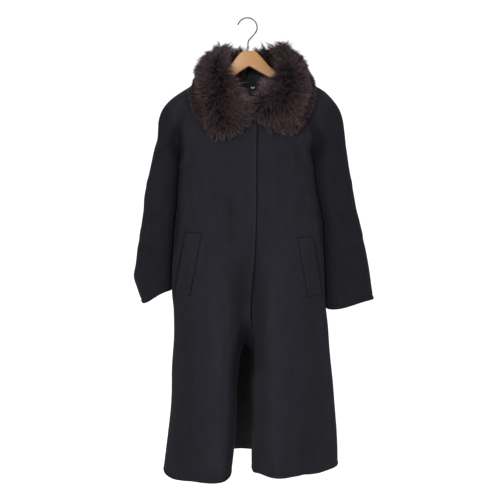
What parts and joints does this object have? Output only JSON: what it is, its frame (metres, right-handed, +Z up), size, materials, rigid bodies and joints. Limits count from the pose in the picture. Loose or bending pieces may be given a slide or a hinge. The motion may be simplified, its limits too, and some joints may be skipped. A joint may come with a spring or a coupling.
{
  "type": "fur collar coat on wooden hanger",
  "caption": "Long dark wool raglan coat with a full fur collar, slanted welt pockets and a hidden front closure, hanging on a shaped wooden hanger.",
  "frame": {"origin": "the point under the top of the hook's arc, where a rail carries the coat", "axes": "+Z up; the coat's front faces -Y; +X is the wearer's left"},
  "size_m": [0.6691, 0.2408, 1.2678],
  "materials": {
    "wool": "matt brushed wool, navy that looks nearly black",
    "fur": "long soft fox-like fur, plum brown with greyer tips",
    "maple": "clear satin varnish",
    "steel_wire": "polished wire"
  },
  "bodies": {
    "root": {"front_right": "wool", "front_left": "wool", "back": "wool", "sleeve_right": "wool", "sleeve_left": "wool", "welt_right": "wool", "welt_left": "wool", "collar_right": "fur", "collar_left": "fur", "hanger_wood": "maple", "hanger_hook": "steel_wire"}
  },
  "joints": []
}
